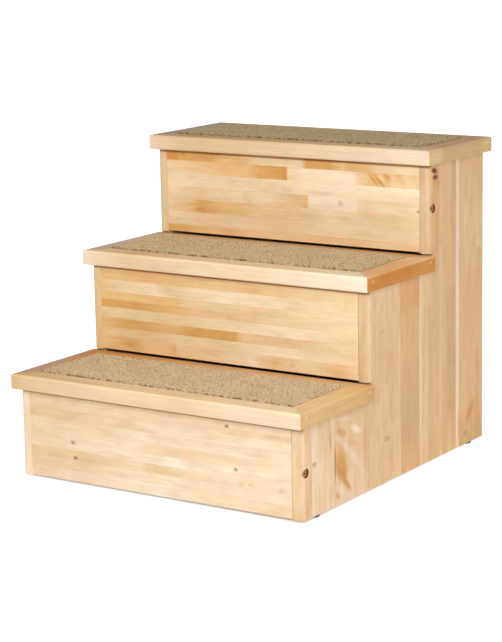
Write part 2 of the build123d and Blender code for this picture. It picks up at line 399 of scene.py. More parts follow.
# Its knots, spots and figure: (height, distance, radius along, radius across, tone, strength share), and
# where they slant, how far along per across.
PANEL_MARKS = (
    (24, 130, 14.0, 12.0, "blush", 0.7, -0.3),
    (50, 146, 44.0, 5.0, "peach", 0.6),
    (84, 92, 5.0, 13.0, "amber", 0.6, -0.3),
    (67, 117, 4.0, 14.0, "peach", 0.7, -0.4),
    (81, 124, 5.0, 12.0, "cream", 0.85, -0.4),
    (53, 93, 17.0, 15.0, "tan", 0.9, -0.8),
    (46, 92, 14.0, 14.0, "amber", 0.8, -0.7),
    (34, 93, 9.0, 13.0, "rust", 0.6, -0.6),
    (22, 104, 6.0, 9.0, "amber", 0.9, -0.8),
    (45, 84, 8.0, 5.0, "russet", 0.4, -0.6),
    (55, 113, 7.0, 30.0, "ivory", 0.8, -0.87),
    (15, 96, 4.2, 20.0, "ivory", 0.85, -0.65),
    (13, 84, 4.0, 6.0, "amber", 0.6, -0.4),
    (98, 100, 3.5, 22.0, "ivory", 0.6, -0.2),
    (50, 74.4, 90.0, 3.2, "pale", 1.0),
    (52, 78.8, 26.0, 1.4, "umber", 0.9),
    (78, 69, 9.0, 1.2, "umber", 0.5),
    (322, 290, 13.0, 3.0, "amber", 0.6),
    (30, 13, 24.0, 3.0, "blush", 0.4),
    (61, 35, 3.4, 5.0, "grey", 0.6),
    (53.5, 194, 3.4, 6.4, "umber", 0.5),
    (53.5, 194, 1.8, 4.0, "oat", 0.8),
    (16.5, 387, 3.4, 6.4, "umber", 0.5),
    (16.5, 387, 1.8, 4.0, "oat", 0.8),
    (181, 185, 2.6, 8.0, "umber", 0.26),
    (349, 308, 4.0, 7.2, "bark", 1.0, -0.2),
    (341.3, 310, 3.4, 6.6, "bark", 1.0),
    (340, 316, 14.0, 14.0, "rust", 0.2),
    (43, 399, 11.0, 11.0, "rust", 0.55, 0.9),
    (32, 368.8, 19.0, 1.1, "umber", 0.5),
    (237, 420, 7.0, 10.0, "tan", 0.5),
    (248, 420, 6.0, 8.0, "ivory", 0.5),
    (100, 420, 18.0, 9.0, "tan", 0.4),
)

# The screws' recesses in the panels: (y, height) of their middles, their radius, how far out they are
# painted dark, and the painted shade's tone.
RECESS_PLACES = ((-204.0, 55.25), (82.0, 305.2))
RECESS_RADIUS = 5.35
RECESS_EDGE = 194.7
RECESS_SHADE_TONE = (84, 52, 28)

# The left panel's staves, of which the photograph shows only the three front edges.
LEFT_PANEL_STAVES = (
    (36.0, ((0, "pale"),)),
    (74.0, ((0, "straw"), (60, "honey"), (107, "straw"))),
    (118.0, ((0, "pale"), (107, "straw"))),
    (150.0, ((0, "honey"), (70, "peach"), (107, "honey"))),
    (192.0, ((0, "honey"), (90, "straw"), (130, "peach"), (232, "honey"))),
    (236.0, ((0, "straw"), (140, "pale"), (232, "straw"))),
    (284.0, ((0, "honey"), (100, "oat"), (232, "honey"))),
    (322.0, ((0, "straw"), (150, "honey"), (250, "straw"), (357, "honey"))),
    (366.0, ((0, "pale"), (220, "straw"), (357, "pale"))),
    (398.0, ((0, "peach"), (120, "honey"), (357, "straw"))),
    (434.0, ((0, "straw"), (200, "pale"), (357, "straw"))),
)

# The rails' tones along their lengths, as shares of the length from the left or from the front.
RAIL_TONE_SHARES = {
    "lower_front": ((0.0, "honey"), (0.06, "straw"), (0.3, "pale"), (0.6, "pale"), (0.85, "ivory")),
    "middle_front": ((0.0, "ivory"), (0.08, "pale"), (0.16, "straw"), (0.4, "pale"), (0.6, "pale"),
                     (0.8, "ivory"), (1.0, "cream")),
    "upper_front": ((0.0, "pale"), (0.15, "honey"), (0.4, "straw"), (0.7, "pale"), (1.0, "ivory")),
    "lower_right": ((0.3, "honey"), (0.7, "peach"), (1.0, "tan")),
    "middle_right": ((0.0, "amber"), (0.2, "rust"), (0.6, "rust"), (0.85, "amber"), (1.0, "rust")),
    "upper_right": ((0.16, "straw"), (0.24, "oat"), (0.8, "oat"), (0.9, "honey"), (1.0, "oat")),
    "lower_left": ((0.5, "mauve"), (1.0, "rust")),
    "middle_left": ((0.0, "oat"), (0.5, "straw"), (1.0, "honey")),
    "upper_left": ((0.0, "oat"), (0.5, "straw"), (1.0, "oat")),
    "lower_back": ((0.0, "amber"), (0.3, "tan"), (0.7, "peach"), (1.0, "honey")),
    "middle_back": ((0.0, "honey"), (0.5, "oat"), (1.0, "tan")),
    "upper_back": ((0.0, "oat"), (0.5, "straw"), (1.0, "oat")),
}

# How far each part is from its tones, as shares of red, green and blue: a rail's outer face and its top, the
# right panel's outer face at the front and the back and its front edges, and the other parts all over. A
# scratch program worked them out, from the averages of these faces in the photograph and in a render.
# Partly the parts' own tones, partly painted light and shade: tops and faces differ as the light falls on
# them.
TINT_AND_LIGHT_SHARES = {
    "riser_lower": (0.84, 0.87, 0.92),
    "riser_middle": (1.00, 1.11, 1.23),
    "riser_upper": (1.04, 1.15, 1.32),
    "panel_right": (1.00, 1.01, 1.05),
    "panel_right_back": (0.90, 0.84, 0.76),
    "panel_right_edges": (0.84, 0.88, 0.97),
    "panel_left": (0.91, 0.99, 1.07),
    "carpet_lower": (1.07, 1.12, 1.20),
    "carpet_middle": (1.00, 1.03, 1.03),
    "carpet_upper": (0.72, 0.77, 0.77),
    "rail_lower_front": (0.82, 0.82, 0.85),
    "rail_lower_front_top": (1.05, 1.02, 0.96),
    "rail_lower_right": (0.91, 0.89, 0.77),
    "rail_lower_right_top": (1.11, 1.16, 1.13),
    "rail_lower_left_top": (1.12, 1.21, 1.43),
    "rail_middle_front": (0.90, 0.95, 1.01),
    "rail_middle_front_top": (1.02, 1.03, 0.99),
    "rail_middle_right": (0.96, 0.83, 0.40),
    "rail_middle_right_top": (1.31, 1.76, 3.42),
    "rail_middle_left_top": (0.93, 1.09, 1.57),
    "rail_upper_front": (0.89, 0.93, 1.01),
    "rail_upper_front_top": (0.88, 0.87, 0.86),
    "rail_upper_right": (0.87, 0.85, 0.70),
    "rail_upper_right_top": (1.00, 0.99, 1.22),
    "rail_upper_left_top": (0.70, 0.86, 1.42),
}
PLAIN_TINT_SHARES = (0.95, 0.93, 0.92)

# The boards that the photograph doesn't show: their reach across and along the staves, the staves' least and
# greatest widths, their tones and the draw's seed. Each stave has so many stops between its ends.
STOPS_WITHIN = 2
BACK_BOARD = {
    "across": (-190.0, 190.0), "along": (0.0, 360.0), "widths": (120.0, 190.0),
    "tones": ("straw", "honey", "pale"), "seed": 9,
}
BASE_BOARD = {
    "across": (-225.0, 225.0), "along": (-190.0, 190.0), "widths": (70.0, 130.0),
    "tones": ("straw", "honey"), "seed": 12,
}

# The stretch of grain that the inner pieces show, counted as staves are.
CLEAT_SHIFT = 3.0
REAR_RAIL_SHIFT = 7.0
TENON_SHIFT = 11.0

# Grain, in millimetres: how far each kind of figure runs along and across the wood, and how far each stave's
# is from the next one's. Rings and mottles are wavy.
FIBRE = (34.0, 0.55)
STREAK = (90.0, 1.5)
RING = (260.0, 7.0)
MOTTLE = (24.0, 8.0)
CLOUD = (60.0, 20.0)
HUE_PATCH = (38.0, 15.0)
STAVE_SHIFT = 41.7
GRAIN_DETAIL = 3.0
RING_WAVE = 0.5
MOTTLE_WAVE = 0.3

# How strong the grain is: the stretches of noise in which it changes, how dark and how warm it makes the
# wood, and the tints between which its hue wanders.
FIGURE_RUN = (0.35, 0.65)
WARM_RUN = (0.45, 0.72)
FIBRE_DARK_SHARE = 0.95
STREAK_DARK_SHARE = 0.93
RING_DARK_SHARE = 0.95
MOTTLE_DARK_SHARE = 0.97
MOTTLE_WARMTH_SHARE = 0.13
CLOUD_WARMTH_SHARE = 0.16
RAIL_CALM_SHARE = 0.45
ROSY_SHARES = (1.0, 0.98, 0.985)
YELLOW_SHARES = (1.0, 1.0, 0.95)

# The varnish, and the relief of the grain under it.
ROUGHNESS_RUN = (0.3, 0.7)
VARNISH_ROUGHNESS = (0.38, 0.52)
VARNISH_SPECULAR = 0.13
GRAIN_RELIEF = 0.12
GRAIN_STRENGTH = 0.5

# Seams between staves, and the soft edges of knots, from full strength to none, as shares of their radius.
SEAM_HALF_WIDTH = 0.35
SEAM_DARK_SHARE = 0.93
MARK_EDGE_SHARES = (0.5, 1.2)

# The brown, painted shadow under a tread's overhang: how far below the tread it starts and is full, and ends
# above it.
OVERHANG_SHADOW_RUN = (4.7, 3.4)
OVERHANG_SHADOW_EDGE = 0.5
OVERHANG_SHADOW_SHARES = (0.5, 0.36, 0.24)

# The painted shade on a rail under a riser, from its front back.
UNDER_RISER_SHADE_FADE = 1.2
UNDER_RISER_SHADE_SHARE = 0.12

# Rounded front edges get a paler painted highlight where their mask is between 0 and 1, and most where the
# mask times its rest is greatest.
ROUNDED_EDGE_HIGHLIGHT_SHARES = (1.08, 1.12, 1.2)
GREATEST_PRODUCT = 0.25


def grain(finish, place, along, colour, shift, warmth_share=1.0):
    """Fibres, streaks, growth rings, mottles and warm clouds over a colour, and the varnish.

    shift moves the grain, so that no two staves show the same.
    """
    first, second = [place[axis] for axis in (SIDE, FRONT, UP) if axis != along]
    first = finish.maths("MULTIPLY_ADD", shift, STAVE_SHIFT, first)
    length = finish.maths("MULTIPLY_ADD", shift, STAVE_SHIFT, place[along])

    def figure(size, wave=0.0):
        run, width = size
        parts = [finish.maths("DIVIDE", *pair) for pair in ((length, run), (first, width), (second, width))]
        return finish.noise(finish.vector(*parts), GRAIN_DETAIL, wave)

    def warmth(value, strength_share):
        return finish.spread(value, *WARM_RUN, 0.0, strength_share * warmth_share)

    fibre = figure(FIBRE)
    ring = figure(RING, RING_WAVE)
    mottle = figure(MOTTLE, MOTTLE_WAVE)
    warm = finish.maths("ADD", warmth(figure(CLOUD), CLOUD_WARMTH_SHARE), warmth(mottle, MOTTLE_WARMTH_SHARE))
    colour = finish.mix(warm, colour, finish.times(colour, linear("amber")))
    hue = finish.spread(figure(HUE_PATCH), *FIGURE_RUN, 0.0, 1.0)
    colour = finish.mix(hue, finish.tint(colour, ROSY_SHARES), finish.tint(colour, YELLOW_SHARES))
    for value, dark_share in ((fibre, FIBRE_DARK_SHARE), (figure(STREAK), STREAK_DARK_SHARE),
                              (ring, RING_DARK_SHARE), (mottle, MOTTLE_DARK_SHARE)):
        colour = finish.shade(colour, finish.spread(value, *FIGURE_RUN, 1.0, dark_share))
    finish.put(finish.shader.inputs["Base Color"], colour)
    finish.put(finish.shader.inputs["Roughness"], finish.spread(fibre, *ROUGHNESS_RUN, *VARNISH_ROUGHNESS))
    finish.shader.inputs["Specular IOR Level"].default_value = VARNISH_SPECULAR
    finish.bump(finish.maths("ADD", fibre, ring), GRAIN_RELIEF, GRAIN_STRENGTH)


def marked(finish, along, across, colour, marks):
    """Knots, spots and flames on a board, each with a soft edge, and some with a slant."""
    for at_along, at_across, radius_along, radius_across, tone, strength, *slant in marks:
        down = finish.maths("SUBTRACT", along, at_along)
        over = finish.maths("SUBTRACT", across, at_across)
        if slant:
            down = finish.maths("SUBTRACT", down, finish.maths("MULTIPLY", over, slant[0]))
        down = finish.maths("DIVIDE", down, radius_along)
        over = finish.maths("DIVIDE", over, radius_across)
        distance = finish.maths("SQRT", squares(finish, down, over))
        colour = finish.mix(finish.spread(distance, *MARK_EDGE_SHARES, strength, 0.0), colour, linear(tone))
    return colour


def squares(finish, first, second):
    """The squares of two values, added up."""
    return finish.maths("MULTIPLY_ADD", first, first, finish.maths("MULTIPLY", second, second))


def board(finish, place, along, across, staves, marks=()):
    """A board of staves: each is (coordinate of its end across, stops along), in rising order."""
    down = place[along]
    over = place[across]
    start = min(stop[0] for _, stops in staves for stop in stops)
    end = max(stop[0] for _, stops in staves for stop in stops)
    colour = finish.ramp(down, staves[0][1], start, end)
    number = 0.0
    seam = WHITE
    for (edge, _), (_, stops) in zip(staves, staves[1:]):
        beyond = finish.maths("GREATER_THAN", over, edge)
        colour = finish.mix(beyond, colour, finish.ramp(down, stops, start, end))
        number = finish.maths("ADD", beyond, number)
        gap = finish.maths("ABSOLUTE", finish.maths("SUBTRACT", over, edge))
        seam = finish.shade(seam, finish.spread(gap, 0.0, SEAM_HALF_WIDTH, SEAM_DARK_SHARE, 1.0))
    return finish.times(marked(finish, down, over, colour, marks), seam), number


def overhang_shadow(finish, place, top, colour, mask=1.0):
    """The painted shadow under a tread's overhang, up to its top: browner and darker."""
    rise = finish.spread(place[UP], *[top - drop for drop in OVERHANG_SHADOW_RUN], 0.0, 1.0)
    end = finish.spread(place[UP], top, top + OVERHANG_SHADOW_EDGE, 1.0, 0.0)
    band = finish.maths("MULTIPLY", finish.maths("MULTIPLY", rise, end), mask)
    return finish.mix(band, colour, finish.tint(colour, OVERHANG_SHADOW_SHARES))


def riser_board(tier):
    """A riser, with its staves from side to side."""
    name = f"riser_{tier}"
    finish = Finish(name)
    place = finish.place()
    rows = RISER_STAVES[tier]
    tops = (RISER_TOPS[tier],) + tuple(row[0] for row in rows)
    staves = [(top, stops) for top, (_, stops) in zip(tops, rows)]
    colour, number = board(finish, place, SIDE, UP, staves[::-1], RISER_MARKS[tier])
    # Painted shadow under the tread's overhang, browner and darker.
    colour = overhang_shadow(finish, place, RISER_TOPS[tier], colour)
    # The riser's tint is partly its own tone and partly painted light.
    grain(finish, place, SIDE, finish.tint(colour, TINT_AND_LIGHT_SHARES[name]), number)
    return finish.material


def recessed(finish, place, colour):
    """The walls of the screws' recesses are darkened with painted shade."""
    inside = finish.maths("LESS_THAN", finish.maths("ABSOLUTE", place[SIDE]), RECESS_EDGE)
    for front, up in RECESS_PLACES:
        over = finish.maths("SUBTRACT", place[FRONT], front)
        down = finish.maths("SUBTRACT", place[UP], up)
        near = finish.maths("LESS_THAN", squares(finish, over, down), RECESS_RADIUS ** 2)
        colour = finish.mix(finish.maths("MULTIPLY", near, inside), colour, linear(RECESS_SHADE_TONE))
    return colour


def right_panel_tint(finish, place, edges, start, end):
    """The right panel's tint, from its front to its back and on its front edges, and a painted highlight
    where rounded.
    """
    back = finish.spread(place[FRONT], start, end, 0.0, 1.0)
    # Partly painted light and shade: the panel's back and its front edges take their own tints.
    tint = finish.mix(back, opaque(TINT_AND_LIGHT_SHARES["panel_right"]), opaque(TINT_AND_LIGHT_SHARES["panel_right_back"]))
    tint = finish.mix(edges, tint, opaque(TINT_AND_LIGHT_SHARES["panel_right_edges"]))
    product = finish.maths("MULTIPLY", edges, finish.maths("SUBTRACT", 1.0, edges))
    rounded = finish.maths("DIVIDE", product, GREATEST_PRODUCT)
    # Painted highlight on the rounded part of the front edges.
    return finish.mix(rounded, tint, finish.tint(tint, ROUNDED_EDGE_HIGHLIGHT_SHARES))


def panel_board(side, staves, marks=()):
    """A side panel, with its staves upright, a painted shadow under the treads and painted shade in the
    recesses.
    """
    finish = Finish(f"panel_{side}")
    place = finish.place()
    staves = [(edge + PANEL_ORIGIN, stops) for edge, stops in staves]
    marks = [(down, over + PANEL_ORIGIN, *rest) for down, over, *rest in marks]
    colour, number = board(finish, place, UP, FRONT, staves, marks)
    edges = finish.facing(FRONT, -1.0)
    # Painted shadow under each tread's overhang, on the front edges.
    for top in RISER_TOPS.values():
        colour = overhang_shadow(finish, place, top, colour, edges)
    tint = opaque(TINT_AND_LIGHT_SHARES[f"panel_{side}"])
    if side == "right":
        tint = right_panel_tint(finish, place, edges, staves[0][0], staves[-1][0])
    # Painted shade in the screws' recesses.
    colour = recessed(finish, place, finish.times(colour, tint))
    grain(finish, place, UP, colour, number)
    return finish.material


def drawn_board(name, along, across, drawn):
    """A board that the photograph doesn't show: its staves' widths, stops and tones are drawn."""
    draw = random.Random(drawn["seed"])
    edge, end = drawn["across"]
    low, high = drawn["along"]
    tones = drawn["tones"]
    staves = []
    while edge < end:
        edge += draw.uniform(*drawn["widths"])
        places = sorted(draw.uniform(low, high) for _ in range(STOPS_WITHIN))
        stops = [(low, draw.choice(tones))] + [(place, draw.choice(tones)) for place in places]
        staves.append((edge, stops + [(high, draw.choice(tones))]))
    finish = Finish(name)
    place = finish.place()
    colour, number = board(finish, place, along, across, staves)
    grain(finish, place, along, finish.tint(colour, PLAIN_TINT_SHARES), number)
    return finish.material


def rail_wood(tier, side):
    """One rail in one piece of wood, with the grain along it."""
    along = SIDE if side in ("front", "back") else FRONT
    finish = Finish(f"rail_{tier}_{side}")
    place = finish.place()
    low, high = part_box(f"tread_{tier}_{side}_rail")
    start = low[along] / MM
    end = high[along] / MM
    stops = [(start + share * (end - start), tone) for share, tone in RAIL_TONE_SHARES[f"{tier}_{side}"]]
    colour = finish.ramp(place[along], stops, start, end)
    shift = float(TIERS.index(tier) * len(RAIL_SIDES) + RAIL_SIDES.index(side))
    # Painted shade on the back rail under the next riser.
    if side == "back" and tier != TIERS[-1]:
        colour = under_riser_shade(finish, place, TIERS[TIERS.index(tier) + 1], colour)
    face = TINT_AND_LIGHT_SHARES.get(f"rail_{tier}_{side}", PLAIN_TINT_SHARES)
    top = TINT_AND_LIGHT_SHARES.get(f"rail_{tier}_{side}_top", PLAIN_TINT_SHARES)
    # Painted light: a rail's top and its faces take different tints for how the light falls on them.
    tint = finish.mix(finish.facing(UP, 1.0), opaque(face), opaque(top))
    grain(finish, place, along, finish.times(colour, tint), shift, RAIL_CALM_SHARE)
    return finish.material


def under_riser_shade(finish, place, tier, colour):
    """The part of a rail that lies under the next riser is darkened with painted shade."""
    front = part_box(f"riser_{tier}")[0][FRONT] / MM
    share = finish.spread(place[FRONT], front, front + UNDER_RISER_SHADE_FADE, 1.0, UNDER_RISER_SHADE_SHARE)
    return finish.shade(colour, share)


def plain_wood(name, along, tone, shift):
    """One piece of wood of one tone, for the inner pieces."""
    finish = Finish(name)
    grain(finish, finish.place(), along, linear(tone), shift)
    return finish.material


# The small parts' specks: their size, the detail of their noise, the roughness from tone to tone, and relief.
PIN_SPECKS = {"size": 0.35, "detail": 2.0, "roughness": (0.45, 0.6), "relief": 0.08, "strength": 0.4}
STEEL_SPECKS = {"size": 0.8, "detail": 3.0, "roughness": (0.32, 0.5), "relief": 0.03, "strength": 0.3}
RUBBER_SPECKS = {"size": 0.6, "detail": 3.0, "roughness": (0.55, 0.75), "relief": 0.05, "strength": 0.5}
PIN_TONES = {
    "lower": ((222, 182, 130), (232, 196, 146)),
    "middle": ((220, 156, 88), (234, 174, 108)),
    "upper": ((208, 176, 132), (220, 190, 148)),
}
STEEL_TONES = ((150, 92, 48), (206, 146, 92))
STEEL_METALLIC = 0.45
RUBBER_TONES = ((30, 27, 25), (56, 50, 46))


def speckled(name, tones, size, detail, roughness, relief, strength):
    """A finish of specks between two tones."""
    finish = Finish(name)
    speck = finish.specks(finish.place(), size, detail)
    colour = finish.mix(finish.spread(speck, *FIGURE_RUN, 0.0, 1.0), *[linear(tone) for tone in tones])
    finish.put(finish.shader.inputs["Base Color"], colour)
    finish.put(finish.shader.inputs["Roughness"], finish.spread(speck, *ROUGHNESS_RUN, *roughness))
    finish.bump(speck, relief, strength)
    return finish


def end_grain(tier):
    """A pin's end, a little paler than its rail."""
    return speckled(f"pin_end_grain_{tier}", PIN_TONES[tier], **PIN_SPECKS).material


def bronzed_steel():
    """The screws' metal."""
    finish = speckled("bronzed_steel", STEEL_TONES, **STEEL_SPECKS)
    finish.shader.inputs["Metallic"].default_value = STEEL_METALLIC
    return finish.material


def glide_rubber():
    """The glides' black rubber."""
    return speckled("glide_rubber", RUBBER_TONES, **RUBBER_SPECKS).material


def dress(node, material):
    """Gives a CAD node its finish."""
    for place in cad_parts[node].material_slots:
        place.material = material


# The carpets: tufts of short pile on a ribbed backing.

# The tufts, in millimetres: how far apart they stand and how far out of place, their radius, and the share of
# it that they keep from the pad's edge, their height and its spread, and how far their tips lean, each its
# own way and outward near an edge.
PILE_PITCH = 2.5
PILE_SCATTER = 0.3
PILE_RADIUS = 1.45
PILE_INSET_SHARE = 0.6
PILE_HEIGHT = 4.6
PILE_HEIGHT_SPREAD = 0.55
PILE_LEAN = 0.5
PILE_EDGE_LEAN = 1.3
PILE_EDGE_REACH = 4.0

# A tuft's rings from its root up, as shares of its height, its radius and its lean, and each ring's sides.
TUFT_RING_SHARES = ((0.0, 0.75, 0.0), (0.62, 1.0, 0.45), (0.9, 0.72, 0.9))
TUFT_SIDES = 5

# Every second row of tufts starts half a step further along.
ROW_PITCH = PILE_PITCH * math.sqrt(3.0) / 2.0
STAGGER_SHARE = 0.5

# The backing, in millimetres: how far below the pad's top it lies, how far apart its ribs are and how high,
# and the steps in each.
BACKING_DEPTH = 3.4
BACKING_PITCH = 2.5
BACKING_RIB = 0.35
RIB_STEPS = 2
BACKING_SPECKS = {"size": 0.7, "detail": 3.0, "roughness": (0.85, 1.0), "relief": 0.3, "strength": 0.6}

# The pile's tones, by the value that each tuft draws, the painted shade of its pits, and those of its dark
# tufts and its backing.
CARPET_TONES = (
    (0.0, (214, 186, 142)),
    (0.3, (196, 168, 124)),
    (0.6, (222, 194, 152)),
    (0.85, (202, 178, 130)),
    (1.0, (188, 154, 112)),
)
CARPET_ROOT_SHADE = (82, 62, 40)
CARPET_SPECK = (118, 90, 58)
CARPET_BACKING = (132, 106, 74)

# How many tufts are dark and how dark, the strands, how far up a tuft the painted shade of the pits reaches,
# and the patches that take the last tone.
DARK_TUFT_SHARE = 0.022
DARK_TONE_SHARE = 0.6
STRAND = 0.4
STRAND_DETAIL = 2.0
STRAND_DARK_SHARE = 0.84
ROOT_SHADE_SHARES = (0.1, 0.85)
PATCH = 24.0
PATCH_DETAIL = 3.0
PATCH_RUN = (0.4, 0.7)
PATCH_TONE_SHARE = 0.35

# The painted shade in a dark, broken line of pits along the front edge.
EDGE_SHADE_REACH = 2.6
EDGE_SHADE_CLUMP = 5.0
EDGE_SHADE_RUN = (0.46, 0.6)
EDGE_SHADE_SHARE = 0.75

# The pile's gloss and relief.
PILE_ROUGHNESS = (0.85, 1.0)
PILE_SPECULAR = 0.1
PILE_SHEEN = 0.25
PILE_SHEEN_ROUGHNESS = 0.5
PILE_RELIEF = 0.2
PILE_STRENGTH = 0.6


def carpet_pile(tier):
    """Tufts darken towards their roots with painted shade, each has its own tone, and a few are dark."""
    finish = Finish(f"carpet_pile_{tier}")
    place = finish.place()
    tuft = finish.attribute("tuft")
    strand = finish.specks(place, STRAND, STRAND_DETAIL)
    patch = finish.specks(place, PATCH, PATCH_DETAIL)
    root_shade = linear(CARPET_ROOT_SHADE)
    worn = linear(CARPET_TONES[-1][1])
    base = finish.ramp(tuft, CARPET_TONES, 0.0, 1.0)
    base = finish.mix(finish.spread(patch, *PATCH_RUN, 0.0, PATCH_TONE_SHARE), base, worn)
    dark = finish.maths("MULTIPLY", finish.maths("GREATER_THAN", DARK_TUFT_SHARE, tuft), DARK_TONE_SHARE)
    base = finish.mix(dark, base, linear(CARPET_SPECK))
    base = finish.shade(base, finish.spread(strand, *ROUGHNESS_RUN, STRAND_DARK_SHARE, 1.0))
    # Partly painted light: each tier's carpet is tinted for the light that reaches it.
    base = finish.tint(base, TINT_AND_LIGHT_SHARES[f"carpet_{tier}"])
    # Painted shade: tufts take the pits' dark tone towards their roots.
    colour = finish.mix(finish.spread(finish.attribute("height"), *ROOT_SHADE_SHARES, 0.0, 1.0), root_shade, base)
    colour = finish.mix(edge_shade(finish, place, tier), colour, root_shade)
    finish.put(finish.shader.inputs["Base Color"], colour)
    finish.put(finish.shader.inputs["Roughness"], finish.spread(strand, *ROUGHNESS_RUN, *PILE_ROUGHNESS))
    finish.shader.inputs["Specular IOR Level"].default_value = PILE_SPECULAR
    finish.shader.inputs["Sheen Weight"].default_value = PILE_SHEEN
    finish.shader.inputs["Sheen Roughness"].default_value = PILE_SHEEN_ROUGHNESS
    finish.bump(strand, PILE_RELIEF, PILE_STRENGTH)
    return finish.material


def edge_shade(finish, place, tier):
    """How dark the pile is in the broken line along its front edge."""
    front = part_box(f"tread_{tier}_carpet")[0][FRONT] / MM
    near = finish.spread(place[FRONT], front, front + EDGE_SHADE_REACH, EDGE_SHADE_SHARE, 0.0)
    clump = finish.specks(place, EDGE_SHADE_CLUMP, STRAND_DETAIL)
    return finish.maths("MULTIPLY", near, finish.spread(clump, *EDGE_SHADE_RUN, 0.0, 1.0))


def carpet_backing():
    """The woven backing between the tufts, speckled with the painted shade of the pits."""
    return speckled("carpet_backing", (CARPET_ROOT_SHADE, CARPET_BACKING), **BACKING_SPECKS).material


def tuft_places(low, high, draw):
    """Staggered rows of tufts over the pad, each a little out of its place."""
    inset = PILE_RADIUS * PILE_INSET_SHARE
    width, depth = [high[axis] - low[axis] - 2.0 * inset for axis in (SIDE, FRONT)]
    rows = int(depth / ROW_PITCH) + 1
    columns = int(width / PILE_PITCH)
    row, column = np.meshgrid(np.arange(rows), np.arange(columns), indexing="ij")
    side_step = width / (columns - STAGGER_SHARE)
    x = low[SIDE] + inset + (column + STAGGER_SHARE * (row % 2)) * side_step
    y = low[FRONT] + inset + row * depth / (rows - 1)
    x = x + draw.uniform(-PILE_SCATTER, PILE_SCATTER, x.shape)
    y = y + draw.uniform(-PILE_SCATTER, PILE_SCATTER, y.shape)
    return x.ravel(), y.ravel()


def outward(place, low, high):
    """How much a tuft near an edge leans out over it, from -1 to 1."""
    near_low = np.clip(1.0 - (place - low) / PILE_EDGE_REACH, 0.0, 1.0)
    near_high = np.clip(1.0 - (high - place) / PILE_EDGE_REACH, 0.0, 1.0)
    return near_high - near_low


def pile_mesh(low, high, seed):
    """Vertices, faces, height and tuft values of the pile over one pad, in millimetres."""
    draw = np.random.default_rng(seed)
    x, y = tuft_places(low, high, draw)
    count = len(x)
    height = PILE_HEIGHT + draw.uniform(-PILE_HEIGHT_SPREAD, PILE_HEIGHT_SPREAD, count)
    lean_x = draw.normal(0.0, PILE_LEAN, count) + PILE_EDGE_LEAN * outward(x, low[SIDE], high[SIDE])
    lean_y = draw.normal(0.0, PILE_LEAN, count) + PILE_EDGE_LEAN * outward(y, low[FRONT], high[FRONT])
    turn = draw.uniform(0.0, 2.0 * math.pi, count)
    tone = draw.uniform(0.0, 1.0, count)
    root = high[UP] - PILE_HEIGHT
    vertices = []
    heights = []
    for rise_share, width_share, lean_share in TUFT_RING_SHARES:
        for side in range(TUFT_SIDES):
            angle = turn + 2.0 * math.pi * side / TUFT_SIDES
            reach = PILE_RADIUS * width_share
            vertices.append((x + lean_x * lean_share + reach * np.cos(angle),
                             y + lean_y * lean_share + reach * np.sin(angle),
                             root + height * rise_share))
            heights.append(np.full(count, rise_share))
    vertices.append((x + lean_x, y + lean_y, root + height))
    heights.append(np.full(count, 1.0))
    points = np.array(vertices).transpose(2, 0, 1)
    each = points.shape[1]
    return points.reshape(-1, 3), tuft_faces(count, each), np.array(heights).T.ravel(), np.repeat(tone, each)


def tuft_faces(count, each):
    """The faces of all tufts, each of so many vertices: bands between its rings, and a tip over the last."""
    bands = []
    for ring in range(len(TUFT_RING_SHARES) - 1):
        below = ring * TUFT_SIDES
        above = below + TUFT_SIDES
        for side in range(TUFT_SIDES):
            after = (side + 1) % TUFT_SIDES
            bands.append((below + side, below + after, above + after, above + side))
    tip = each - 1
    last = tip - TUFT_SIDES
    tips = [(last + side, last + (side + 1) % TUFT_SIDES, tip) for side in range(TUFT_SIDES)]
    starts = (np.arange(count) * each)[:, None, None]
    quads = (starts + np.array(bands)).reshape(-1, 4)
    triangles = (starts + np.array(tips)).reshape(-1, 3)
    return quads.tolist() + triangles.tolist()


def backing_mesh(low, high, first):
    """A ribbed sheet with sides down to the pad's bottom. first is the number of its first vertex."""
    columns, rows = [int((high[axis] - low[axis]) / BACKING_PITCH) * RIB_STEPS + 1 for axis in (SIDE, FRONT)]
    points = []
    for row, y in enumerate(np.linspace(low[FRONT], high[FRONT], rows)):
        for column, x in enumerate(np.linspace(low[SIDE], high[SIDE], columns)):
            points.append((x, y, high[UP] - BACKING_DEPTH + BACKING_RIB * ((column + row) % RIB_STEPS)))
    faces = []
    for row in range(rows - 1):
        for column in range(columns - 1):
            corner = first + row * columns + column
            faces.append((corner, corner + 1, corner + columns + 1, corner + columns))
    border = list(range(columns))
    border += [row * columns + columns - 1 for row in range(1, rows)]
    border += [(rows - 1) * columns + column for column in range(columns - 2, -1, -1)]
    border += [row * columns for row in range(rows - 2, 0, -1)]
    foot = first + len(points)
    points += [(points[vertex][SIDE], points[vertex][FRONT], low[UP]) for vertex in border]
    for number, vertex in enumerate(border):
        after = (number + 1) % len(border)
        faces.append((first + vertex, foot + number, foot + after, first + border[after]))
    faces.append(tuple(foot + number for number in reversed(range(len(border)))))
    return np.array(points), faces


def carpet(tier, materials, seed):
    """The carpet inlay of one tread, in place of its plain solid."""
    node = f"tread_{tier}_carpet"
    low, high = [[value / MM for value in corner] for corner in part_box(node)]
    points, faces, heights, tufts = pile_mesh(low, high, seed)
    backing, backing_faces = backing_mesh(low, high, len(points))
    mesh = bpy.data.meshes.new(f"{tier}_carpet")
    mesh.from_pydata((np.vstack((points, backing)) * MM).tolist(), [], faces + backing_faces)
    for name, values in (("height", heights), ("tuft", tufts)):
        attribute = mesh.attributes.new(name, "FLOAT", "POINT")
        full = np.concatenate((values, np.zeros(len(backing)))).astype(np.float32)
        attribute.data.foreach_set("value", full)
    for material in materials:
        mesh.materials.append(material)
    kinds = np.array([0] * len(faces) + [1] * len(backing_faces), dtype=np.int32)
    mesh.polygons.foreach_set("material_index", kinds)
    mesh.polygons.foreach_set("use_smooth", kinds == 0)
    mesh.update()
    piece = bpy.data.objects.new(f"{tier}_carpet", mesh)
    bpy.context.scene.collection.objects.link(piece)
    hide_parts(node)
    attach(piece, "root")


# Floor, light and camera.


